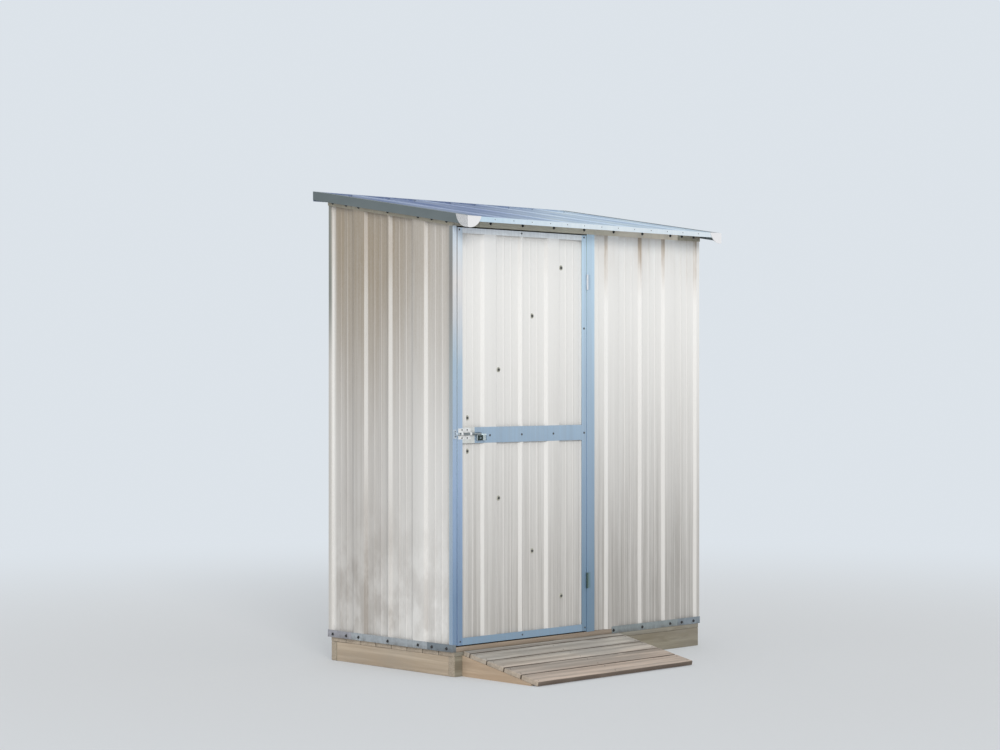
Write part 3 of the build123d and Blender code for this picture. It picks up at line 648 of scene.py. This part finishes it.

# Wall sheets. Thin ribbed steel with a cream coating, one sheet on each side, one beside the
# door and two lapped at the back. Rain keeps the ribs' slopes partly clean and leaves dust in
# the pans; the slopes' lighter colour is also a painted highlight.


def sheet_finish(name, axis, inward, dusty, stain=0.0, top_browning=0.7):
    """Coated sheet whose inner face looks along an axis, at 1 or -1, with dust on all but its slopes.

    The slopes keep less dust, partly as clean paint and partly as a painted highlight. The dust
    grows toward the foot. On a side wall, which has a stain, its two shares are for the front
    and the back instead, splashes dirty the foot, the stain comes down from the top and the
    last fold at the back is grey, darker toward the top. Slopes are browner near the top,
    under the eaves. The inner face has a plain grey primer.
    """
    cream = (0.87, 0.858, 0.835)
    dust = (0.375, 0.34, 0.305) if stain else (0.365, 0.347, 0.325)
    wet_brown = (0.37, 0.305, 0.225)
    top_brown = (0.45, 0.37, 0.29)
    primer = (0.52, 0.53, 0.53)
    material, coat, feed = new_finish(name, Coat_Weight=0.12, Coat_Roughness=0.3)
    here = coat.place()
    height = coat.along(here, "Z")
    streaked = coat.group(rain_streaks, Place=here)
    slope = coat.maths("ABSOLUTE", coat.facing("Y" if axis == "X" else "X"))
    # The slopes keep less dust, partly clean paint and partly a painted highlight of the lit ribs.
    slope_dust_and_highlight = coat.fade(height, 0.35, 1.15, 1.3, 0.36) if stain else 0.44
    flat = coat.fade(slope, 0.2, 0.6, 1, slope_dust_and_highlight)
    contrast = 0.10 if stain else 0.15
    patchy = coat.times(
        coat.fade(streaked["Lines"], 0, 1, 1 - contrast, 1 + contrast),
        coat.fade(streaked["Broad"], 0, 1, 0.93, 1.06),
    )
    if stain:
        back = coat.fade(coat.along(here, "Y"), -0.16, 0.42)
        end = coat.fade(coat.along(here, "Y"), 0.517, 0.533, 1, 0.35)
        splashes = coat.fade(coat.noise(here, (8, 8, 5), detail=4, rough=0.6), 0.38, 0.64, -0.15, 0.21)
        splashes = coat.times(splashes, coat.fade(height, 0.15, 0.85, 1, 0))
        share = coat.times(coat.maths("ADD", coat.fade(back, 0, 1, *dusty), splashes), end)
    else:
        share = coat.fade(coat.maths("MULTIPLY_ADD", height, -0.58, 1.0), 0, 1, 0, dusty)
    colour = coat.mix(coat.times(share, patchy, flat), cream, dust)
    if stain:
        wet = coat.times(coat.fade(height, 0.75, 1.85), coat.fade(back, 0, 1, 0.6, 1), stain, end)
        wet = coat.times(wet, patchy, flat, coat.fade(streaked["Specks"], 0, 1, 0.9, 1.08))
        colour = coat.mix(wet, colour, wet_brown)
        # The last fold at the back is grey, darker toward the top.
        back_fold_grey = coat.mix(coat.fade(height, 1.2, 1.6), (0.59, 0.57, 0.54), (0.24, 0.25, 0.225))
        colour = coat.mix(coat.fade(coat.along(here, "Y"), 0.540, 0.546), colour, back_fold_grey)
    # Slopes grow browner near the top, under the eaves.
    eaves = coat.times(coat.fade(height, 1.50, 1.83, 0, top_browning), coat.fade(slope, 0.2, 0.6, 0.15, 1))
    eaves = coat.times(eaves, streaked["Broad"])
    colour = coat.mix(eaves, colour, top_brown)
    inside = coat.fade(coat.times(coat.facing(axis), inward), 0.2, 0.5)
    feed(
        Base_Color=coat.mix(inside, colour, primer),
        Roughness=coat.fade(streaked["Broad"], 0, 1, 0.38, 0.54),
        Normal=coat.bump(streaked["Broad"], 0.0005, 0.5),
    )
    return material


def round_folds(node, name, material, along):
    """A CAD sheet with its folds rounded: wide bends on the steep ribs, tighter ones on the swages."""
    rib_folds = (38, 60, 0.0022)
    swage_folds = (12, 38, 0.0011)

    def fill(form):
        take_mesh(form, node)
        bmesh.ops.dissolve_limit(form, angle_limit=math.radians(1), verts=form.verts, edges=form.edges)
        for least, most, bend in (rib_folds, swage_folds):
            folds = []
            for edge in form.edges:
                run = (edge.verts[1].co - edge.verts[0].co).normalized()
                if len(edge.link_faces) == 2 and abs(run.dot(along)) > 0.999:
                    if least <= math.degrees(edge.calc_face_angle()) < most:
                        folds.append(edge)
            bmesh.ops.bevel(form, geom=folds, offset=bend, segments=3, profile=0.5, affect="EDGES")
        bmesh.ops.dissolve_degenerate(form, dist=1e-5, edges=form.edges)
        # The long end faces are cut into triangles here, so that none comes out without any area.
        ends = [face for face in form.faces if len(face.verts) > 4 and abs(face.normal.dot(along)) > 0.5]
        bmesh.ops.triangulate(form, faces=ends, ngon_method="BEAUTY")

    return make_piece(name, node, material, fill, smooth=30)


upright = Vector((0, 0, 1))
front_cream = sheet_finish("front_cream", "Y", 1, 0.95, top_browning=1.6)
back_cream = sheet_finish("back_cream", "Y", -1, 0.6)
left_cream = sheet_finish("left_cream", "X", 1, (0.20, 0.58), stain=0.95)
right_cream = sheet_finish("right_cream", "X", -1, (0.20, 0.58), stain=0.95)
round_folds("wall_front", "front_sheet", front_cream, upright)
round_folds("wall_back_right", "back_sheet_right", back_cream, upright)
round_folds("wall_back_left", "back_sheet_left", back_cream, upright)
round_folds("wall_left", "left_sheet", left_cream, upright)
round_folds("wall_right", "right_sheet", right_cream, upright)

# Top channels. The same U sections upside down along the tops of the walls. The front one is
# coated cream like the sheets, and the corner pieces that join them are bare and darker. The
# front one darkens toward its left end, which is painted shade under the eaves, and its
# underside is lighter, which is painted light in the gap above the door.

strip_cream, coat, feed = new_finish("strip_cream", Coat_Weight=0.1, Coat_Roughness=0.3)
here = coat.place()
streaked = coat.group(rain_streaks, Place=here)
# The strip darkens toward its left end: painted shade under the eaves.
colour = coat.mix(coat.fade(coat.along(here, "X"), -0.35, 0.55), (0.54, 0.51, 0.39), (0.88, 0.77, 0.62))
colour = coat.mix(coat.times(streaked["Broad"], 0.35), colour, (0.45, 0.40, 0.33))
feed(
    # Its underside is lighter: painted light in the gap above the door.
    Base_Color=coat.mix(coat.fade(coat.facing("Z"), -0.9, -0.5, 1, 0), colour, (0.92, 0.85, 0.74)),
    Roughness=coat.fade(streaked["Broad"], 0, 1, 0.4, 0.55),
)
top_zinc = zinc_finish("top_zinc", (0.46, 0.42, 0.33))
angle_zinc = zinc_finish("angle_zinc", (0.50, 0.52, 0.53))
dress(strip_cream, "top_channel_front")
dress(top_zinc, "top_corners", "top_channel_left", "top_channel_right", "top_channel_back")
dress(angle_zinc, "corner_angles")
roof_slope = math.radians(9)
roof_at_front = floor_top + 1.7495
front_drop = 0.0192
side_drop = 0.0235
back_rise = 0.014
top_places = front_row(rib_screws + corner_screws, roof_at_front - front_drop)
top_places += back_row(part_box("top_channel_back")[0].z + back_rise)
top_places += side_rows(lambda y: roof_at_front + y * math.tan(roof_slope) - side_drop)
drive_screws("top_screws", "shed", black_paint, black_paint, top_places)

# Jambs. The folded post at the front left corner and the jamb that the door hangs on have a
# blue coating, which has bleached toward the top; the near white at the top of the post is a
# painted reflection of the sky. The post's side fold is greyer.


def blue_finish(name, front, side):
    """Blue coated steel with colours at five heights on its front and on its side faces.

    Colour stops lie between 0 and 1, so heights are halved. Light side colours are painted
    light, which fills the shade in the narrow gaps beside the door.
    """
    material, coat, feed = new_finish(name, Metallic=0.1, Coat_Weight=0.2, Coat_Roughness=0.25)
    here = coat.place()
    streaked = coat.group(rain_streaks, Place=here)
    wavy = coat.times(coat.maths("SUBTRACT", streaked["Broad"], 0.5), 0.1)
    halved = coat.times(coat.maths("ADD", coat.along(here, "Z"), wavy), 0.5)
    levels = [height / 2 for height in (0.31, 0.73, 1.25, 1.56, 1.78)]
    colour = coat.stops(halved, *zip(levels, front))
    sideways = coat.fade(coat.maths("ABSOLUTE", coat.facing("X")), 0.6, 0.9)
    colour = coat.mix(sideways, colour, coat.stops(halved, *zip(levels, side)))
    colour = coat.mix(coat.fade(streaked["Lines"], 0, 1, 0, 0.14), colour, (0.28, 0.28, 0.28))
    feed(
        Base_Color=colour,
        Roughness=coat.fade(streaked["Broad"], 0, 1, 0.36, 0.5),
        Normal=coat.bump(streaked["Broad"], 0.0004, 0.5),
    )
    return material


# The near white at the top is partly a painted reflection of the sky.
latch_front_with_sky_sheen = (
    (0.173, 0.273, 0.425), (0.32, 0.445, 0.655), (0.43, 0.56, 0.69), (0.81, 0.785, 0.775),
    (0.70, 0.81, 0.91),
)
latch_side = (
    (0.30, 0.42, 0.57), (0.46, 0.54, 0.61), (0.37, 0.41, 0.42), (0.305, 0.28, 0.26), (0.25, 0.27, 0.27),
)
hinge_front = (
    (0.145, 0.243, 0.35), (0.26, 0.37, 0.50), (0.42, 0.56, 0.70), (0.53, 0.70, 0.85), (0.58, 0.76, 0.91),
)
# These light side colours are painted light, which fills the shade in the gap beside the door.
hinge_side_painted_light = (
    (0.23, 0.38, 0.54), (0.40, 0.56, 0.74), (0.62, 0.80, 0.96), (0.78, 0.95, 1.0), (0.80, 0.96, 1.0),
)
latch_blue = blue_finish("latch_blue", latch_front_with_sky_sheen, latch_side)
hinge_blue = blue_finish("hinge_blue", hinge_front, hinge_side_painted_light)
dress(latch_blue, "latch_jamb")
dress(hinge_blue, "hinge_jamb")

# Door. A ribbed sheet like the walls' is held in four folded channels with a flat rail across
# its middle, and two shallow zinc channels brace it from behind.

brace_zinc = zinc_finish("brace_zinc", (0.50, 0.53, 0.56))
plate_zinc = zinc_finish("plate_zinc", (0.74, 0.76, 0.74), metallic=0.3)
door_cream = sheet_finish("door_cream", "Y", 1, 0.76, top_browning=0.2)
round_folds("door_cladding", "door_sheet", door_cream, upright)
# The stile's light side colours are painted light, which fills the shade in the gap by the post.
stile_side_painted_light = (
    (0.34, 0.50, 0.75), (0.62, 0.80, 0.98), (0.80, 0.92, 1.0), (0.97, 0.97, 0.97), (0.95, 0.98, 1.0),
)
# The near white at the top is painted light against the shade under the eaves.
rail_front_painted_light = (
    (0.24, 0.36, 0.49), (0.26, 0.37, 0.50), (0.42, 0.56, 0.70), (0.92, 0.95, 0.97), (0.92, 0.95, 0.97),
)
stile_blue = blue_finish("stile_blue", latch_front_with_sky_sheen, stile_side_painted_light)
rail_blue = blue_finish("rail_blue", rail_front_painted_light, hinge_front)
dress(stile_blue, "door_stile_latch")
dress(hinge_blue, "door_stile_hinge")
dress(rail_blue, "door_rail_top", "door_rail_bottom", "door_rail_mid")
dress(brace_zinc, "door_braces")
dress(plate_zinc, "bolt_backing_plate")


def on_front(spots, depth=0.0):
    """Places on the front at distances from the left and above the floor."""
    return [((left_face + x, front_face + depth, floor_top + z), (0, -1, 0)) for x, z in spots]


dark_zinc = metal_finish("dark_zinc", (0.035, 0.036, 0.038), (0.13, 0.13, 0.13), metallic=0.3)
washer_zinc = metal_finish("washer_zinc", (0.36, 0.36, 0.30), (0.52, 0.51, 0.43), metallic=0.2)
frame_spots = [(0.037, 1.698), (0.392, 1.698), (0.767, 1.698)]
frame_spots += [(0.042, 0.040), (0.396, 0.040), (0.773, 0.040)]
rail_spots = [(0.209, 0.868), (0.393, 0.868), (0.580, 0.868), (0.768, 0.868), (0.767, 1.311)]
set_heads("frame_screws", domes, "door", dark_zinc, on_front(frame_spots), Radius=0.004, Depth=0.002)
set_heads("rail_screws", domes, "door", dark_zinc, on_front(rail_spots), Radius=0.0048, Depth=0.0024)
brace_spots = [(0.092, 0.940), (0.270, 1.135), (0.465, 1.359), (0.639, 1.565)]
brace_spots += [(0.092, 0.805), (0.270, 0.609), (0.465, 0.382), (0.640, 0.183)]
rib_depth = 0.012
pan_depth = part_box("wall_front")[0].y + rib_depth - front_face
# The heads' dark zinc against the paler washers is partly painted shade.
drive_screws(
    "brace_screws", "door", dark_zinc, washer_zinc, on_front(brace_spots, pan_depth),
    head_radius=0.0046, washer_radius=0.0108,
)

# Hinges. Butt hinges of bright zinc plated steel stand in front of the gap, three screws to
# a leaf. The lower one is grimy. The leaves on the jamb's side are bluish, which is a
# painted reflection of the sky.

pin_line = left_face + 0.783
leaf_feet = [floor_top + 0.207, floor_top + 1.476]
hinge_zinc, metal, feed = new_finish("hinge_zinc", Metallic=0.35)
here = metal.place()
mottle = metal.noise(here, (500, 500, 500), detail=3)
leaf_with_painted_sky = metal.fade(metal.along(here, "X"), pin_line + 0.0042, pin_line + 0.0060)
colour = metal.mix(metal.fade(mottle, 0.35, 0.7), (0.78, 0.80, 0.83), (0.62, 0.64, 0.67))
# The leaf on the jamb's side is bluish: a painted reflection of the sky.
colour = metal.mix(leaf_with_painted_sky, colour, (0.44, 0.57, 0.70))
lower_hinge = metal.fade(metal.along(here, "Z"), 0.5, 0.7, 1, 0)
grime = metal.times(lower_hinge, metal.fade(mottle, 0.2, 0.8, 1, 0.85))
colour = metal.mix(grime, colour, metal.mix(leaf_with_painted_sky, (0.015, 0.06, 0.045), (0.13, 0.22, 0.26)))
feed(Base_Color=colour, Roughness=metal.fade(mottle, 0.3, 0.7, 0.3, 0.5))
dress(hinge_zinc, "hinge_jamb_leaves", "hinge_door_leaves")
leaf_middle = pin_line + 0.014
leaf_face = front_face - 0.0012
leaf_screws = (0.010, 0.0325, 0.055)
leaf_places = [
    ((leaf_middle, leaf_face, foot + rise), (0, -1, 0)) for foot in leaf_feet for rise in leaf_screws
]
set_heads("hinge_screws", domes, "shed", hinge_zinc, leaf_places, Radius=0.0032, Depth=0.0006)

# Bolt. A pressed plate with two straps guides a dark steel rod with a bent lug, and a smaller
# keeper stands on the post. Four screws hold the plate and two the keeper. A pale band along
# the rod's front and the lug's pale grip face are a painted highlight.

bolt_zinc = zinc_finish("bolt_zinc", (0.86, 0.87, 0.87), metallic=0.3)
keeper_zinc = zinc_finish("keeper_zinc", (0.55, 0.63, 0.71), metallic=0.3)
rod_axis = floor_top + 0.8755
rod_steel, metal, feed = new_finish("rod_steel")
here = metal.place()
mottle = metal.noise(here, (300, 900, 900), detail=2)
on_rod = metal.fade(metal.along(here, "Z"), rod_axis - 0.006, rod_axis - 0.0045)
# A pale band along the rod's front and the lug's grip face are a painted highlight.
rod_highlight_band = metal.fade(metal.maths("ABSOLUTE", metal.facing("Z")), 0.08, 0.28)
rod_highlight_band = metal.maths("SUBTRACT", 1.0, rod_highlight_band)
grip_highlight = metal.fade(metal.facing("X"), -0.9, -0.6, 1, 0)
painted_highlight = metal.maths("MAXIMUM", metal.times(on_rod, rod_highlight_band), grip_highlight)
colour = metal.mix(on_rod, (0.02, 0.035, 0.03), (0.014, 0.016, 0.02))
colour = metal.mix(metal.times(metal.fade(mottle, 0.3, 0.7), 0.3), colour, (0.06, 0.075, 0.07))
feed(
    Base_Color=metal.mix(painted_highlight, colour, (0.80, 0.91, 0.95)),
    Metallic=metal.fade(painted_highlight, 0, 1, 0.5, 0.1),
    Roughness=metal.fade(mottle, 0.3, 0.7, 0.3, 0.42),
)
dress(bolt_zinc, "bolt_plate")
dress(keeper_zinc, "bolt_keeper")
dress(rod_steel, "bolt_rod")
plate_proud = 0.0015
keeper_proud = 0.0033
plate_places = on_front([(x, z) for x in (0.0505, 0.0795) for z in (0.892, 0.859)], -plate_proud)
keeper_places = on_front([(0.011, 0.8857), (0.011, 0.8653)], -keeper_proud)
set_heads("plate_screws", domes, "door", dark_zinc, plate_places, Radius=0.0034, Depth=0.0018)
set_heads("keeper_screws", domes, "shed", dark_zinc, keeper_places, Radius=0.0027, Depth=0.0015)

# Roof. Two ribbed sheets of blue grey coated steel run down the slope, lapped on the middle
# rib, with folded barges at the sides, a riveted fascia in front and a capping at the back.


def roof_finish(name, tint, streak, share=0.6, sky_sheen=None):
    """Coated roof steel with pale streaks down the slope.

    Toward the front right it may grow lighter, to a tint and a streak of their own, which
    is a painted reflection of the sky. The slopes of its ribs and its back edge then have
    painted shade.
    """
    material, coat, feed = new_finish(name, Specular_IOR_Level=0.05 if sky_sheen else 0.25)
    here = coat.place()
    runs = coat.noise(here, (60, 0.9, 4), detail=4, rough=0.6)
    hairs = coat.noise(here, (240, 2.5, 12), detail=3, rough=0.6)
    clouds = coat.noise(here, (4, 2, 2), detail=5, rough=0.6)
    worn = coat.maths("ADD", coat.times(runs, 0.4), coat.times(clouds, 0.4))
    worn = coat.maths("ADD", worn, coat.times(hairs, 0.2))
    if sky_sheen:
        # Lighter toward the front right: a painted reflection of the sky.
        forward = coat.maths(
            "SUBTRACT", coat.times(coat.along(here, "X"), 0.71), coat.times(coat.along(here, "Y"), 0.7)
        )
        pale = coat.fade(forward, -0.42, 0.22)
        tint = coat.mix(pale, tint, sky_sheen[0])
        streak = coat.mix(pale, streak, sky_sheen[1])
        shade = coat.times(
            coat.fade(coat.maths("ABSOLUTE", coat.facing("X")), 0.2, 0.6, 1, 0.72),
            coat.fade(coat.along(here, "Y"), 0.599, 0.605, 1, 0.75),
        )
        tint = coat.mix(1.0, tint, shade, "MULTIPLY")
        streak = coat.mix(1.0, streak, shade, "MULTIPLY")
    feed(
        Base_Color=coat.mix(coat.times(coat.fade(worn, 0.38, 0.62), share), tint, streak),
        Roughness=coat.fade(worn, 0.35, 0.65, 0.42, 0.6),
        Normal=coat.bump(worn, 0.0006, 0.6),
    )
    return material


roof_blue = roof_finish(
    "roof_blue", (0.25, 0.32, 0.53), (0.45, 0.53, 0.68), share=0.8,
    sky_sheen=((0.50, 0.65, 0.88), (0.85, 0.97, 1.0)),
)
barge_grey = roof_finish("barge_grey", (0.135, 0.165, 0.172), (0.20, 0.232, 0.243))
fascia_blue = roof_finish(
    "fascia_blue", (0.49, 0.66, 0.80), (0.64, 0.78, 0.88),
    sky_sheen=((0.68, 0.765, 0.83), (0.80, 0.865, 0.91)),
)
down_slope = Vector((0, math.cos(roof_slope), math.sin(roof_slope)))
round_folds("roof_sheet_left", "roof_cover_left", roof_blue, down_slope)
round_folds("roof_sheet_right", "roof_cover_right", roof_blue, down_slope)
dress(barge_grey, "barge_left", "barge_right")
dress(fascia_blue, "fascia_front")
dress(roof_blue, "capping_back")

fascia_low, fascia_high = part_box("fascia_front")
rivet_rise = 0.012
rivets = [0.133, 0.239, 0.345, 0.452, 0.554, 0.656, 0.762, 0.865, 0.968, 1.075, 1.181, 1.284, 1.388]
rivet_places = [((left_face + x, fascia_low.y, fascia_low.z + rivet_rise), (0, -1, 0)) for x in rivets]
set_heads("fascia_rivets", domes, "shed", dark_zinc, rivet_places, Radius=0.0022, Depth=0.001)

# Roof closures. Strips of the roof's own steel stand across the pans under the fascia and the
# capping, so that rain and birds stay out.

closure_low = Vector((-0.738, 0, 0.0002))
closure_high = Vector((0.738, 0.0012, 0.013))
under_fascia = fascia_high.y - 0.006
under_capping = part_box("capping_back")[1].y - 0.031
form = bmesh.new()
for y in (under_fascia, under_capping):
    closure_foot = Vector((0, y, roof_at_front + (y - front_face) * math.tan(roof_slope)))
    closure_place = Matrix.Translation(closure_foot) @ Matrix.Rotation(roof_slope, 4, "X")
    saw_board(form, closure_low, closure_high, 95, ease=0.0003, wander=0, place=closure_place)
bmesh.ops.recalc_face_normals(form, faces=form.faces)
closure_mesh = bpy.data.meshes.new("roof_closures")
form.to_mesh(closure_mesh)
form.free()
closure_mesh.materials.append(roof_blue)
link_up("roof_closures", closure_mesh, "shed")

# Corner caps. White moulded plastic closes the two front corners of the roof. Its sides that
# face left and right are grey in a scuffed pattern, partly scuffs and partly painted shade.

cap_white, plastic, feed = new_finish("cap_white", Specular_IOR_Level=0.4)
here = plastic.place()
scuffs = plastic.noise(here, (230, 230, 230), detail=4, rough=0.7)
# Scuffs show most on the faces that look left and right: partly scuffs, partly painted shade.
side_scuffs_and_shade = plastic.fade(plastic.maths("ABSOLUTE", plastic.facing("X")), 0.35, 0.7, 0.12, 1)
worn = plastic.times(plastic.fade(scuffs, 0.25, 0.7), side_scuffs_and_shade)
feed(
    Base_Color=plastic.mix(worn, (0.86, 0.855, 0.87), (0.41, 0.425, 0.44)),
    Roughness=plastic.fade(scuffs, 0.3, 0.7, 0.38, 0.6),
    Normal=plastic.bump(scuffs, 0.0006, 0.5),
)
dress(cap_white, "roof_caps")

# Studio. A pale floor that fades into the backdrop's colour, soft light from the whole sky
# and a low sun from the left of the front.

backdrop = (0.72, 0.77, 0.82)
world = bpy.data.worlds.new("studio_sky")
bpy.context.scene.world = world
world.use_nodes = True
sky = Shading(world.node_tree)
ambient = world.node_tree.nodes["Background"]
ambient.inputs["Color"].default_value = (0.965, 0.985, 1, 1)
ambient.inputs["Strength"].default_value = 0.70
shown = sky.add("ShaderNodeBackground", 0, Color=solid(backdrop), Strength=1.0)
path = world.node_tree.nodes.new("ShaderNodeLightPath").outputs
mirrored = sky.maths("MAXIMUM", path["Is Glossy Ray"], path["Is Transmission Ray"])
seen = sky.maths("MAXIMUM", path["Is Camera Ray"], mirrored)
both = sky.add("ShaderNodeMixShader", 0, _0=seen, _1=ambient.outputs[0], _2=shown)
world.node_tree.links.new(both, world.node_tree.nodes["World Output"].inputs["Surface"])

floor_mesh = bpy.data.meshes.new("studio_floor")
form = bmesh.new()
bmesh.ops.create_circle(form, cap_ends=True, segments=96, radius=40)
form.to_mesh(floor_mesh)
form.free()
floor_paint, ground, feed = new_finish("floor_paint", Roughness=0.9, Specular_IOR_Level=0.1)
feed(Base_Color=(0.74, 0.745, 0.75))
distance = ground.add("ShaderNodeVectorMath", 1, {"operation": "LENGTH"}, _0=ground.place())
far = ground.fade(distance, 1.5, 7.0, 0.22, 1.0)
glow = ground.add("ShaderNodeEmission", 0, Color=solid(backdrop), Strength=1.0)
path = floor_paint.node_tree.nodes.new("ShaderNodeLightPath").outputs
seen = ground.times(far, path["Is Camera Ray"])
paint = floor_paint.node_tree.nodes["Principled BSDF"].outputs[0]
both = ground.add("ShaderNodeMixShader", 0, _0=seen, _1=paint, _2=glow)
floor_paint.node_tree.links.new(both, floor_paint.node_tree.nodes["Material Output"].inputs["Surface"])
floor_mesh.materials.append(floor_paint)
studio_floor = bpy.data.objects.new("studio_floor", floor_mesh)
bpy.context.scene.collection.objects.link(studio_floor)

sun = bpy.data.lights.new("low_sun", "SUN")
sun.energy = 1.25
sun.angle = math.radians(20)
sun.color = (1, 0.985, 0.96)
sun_object = bpy.data.objects.new("low_sun", sun)
sun_object.rotation_euler = Vector((-0.50, -0.80, 0.34)).to_track_quat("Z", "Y").to_euler()
bpy.context.scene.collection.objects.link(sun_object)

# Camera. It stands where the photograph was taken from, level and at chest height, and its
# lens follows from the shed's own upright and level edges.

camera = bpy.data.cameras.new("camera")
camera.lens = 79.39
camera.sensor_width = 36
camera.shift_y = 0.0013
camera_object = bpy.data.objects.new("camera", camera)
camera_object.location = (-6.8233, -6.6477, 1.2079)
camera_object.rotation_euler = (math.pi / 2, 0, math.radians(-44.51))
bpy.context.scene.collection.objects.link(camera_object)
bpy.context.scene.camera = camera_object
bpy.context.scene.view_settings.view_transform = "Standard"
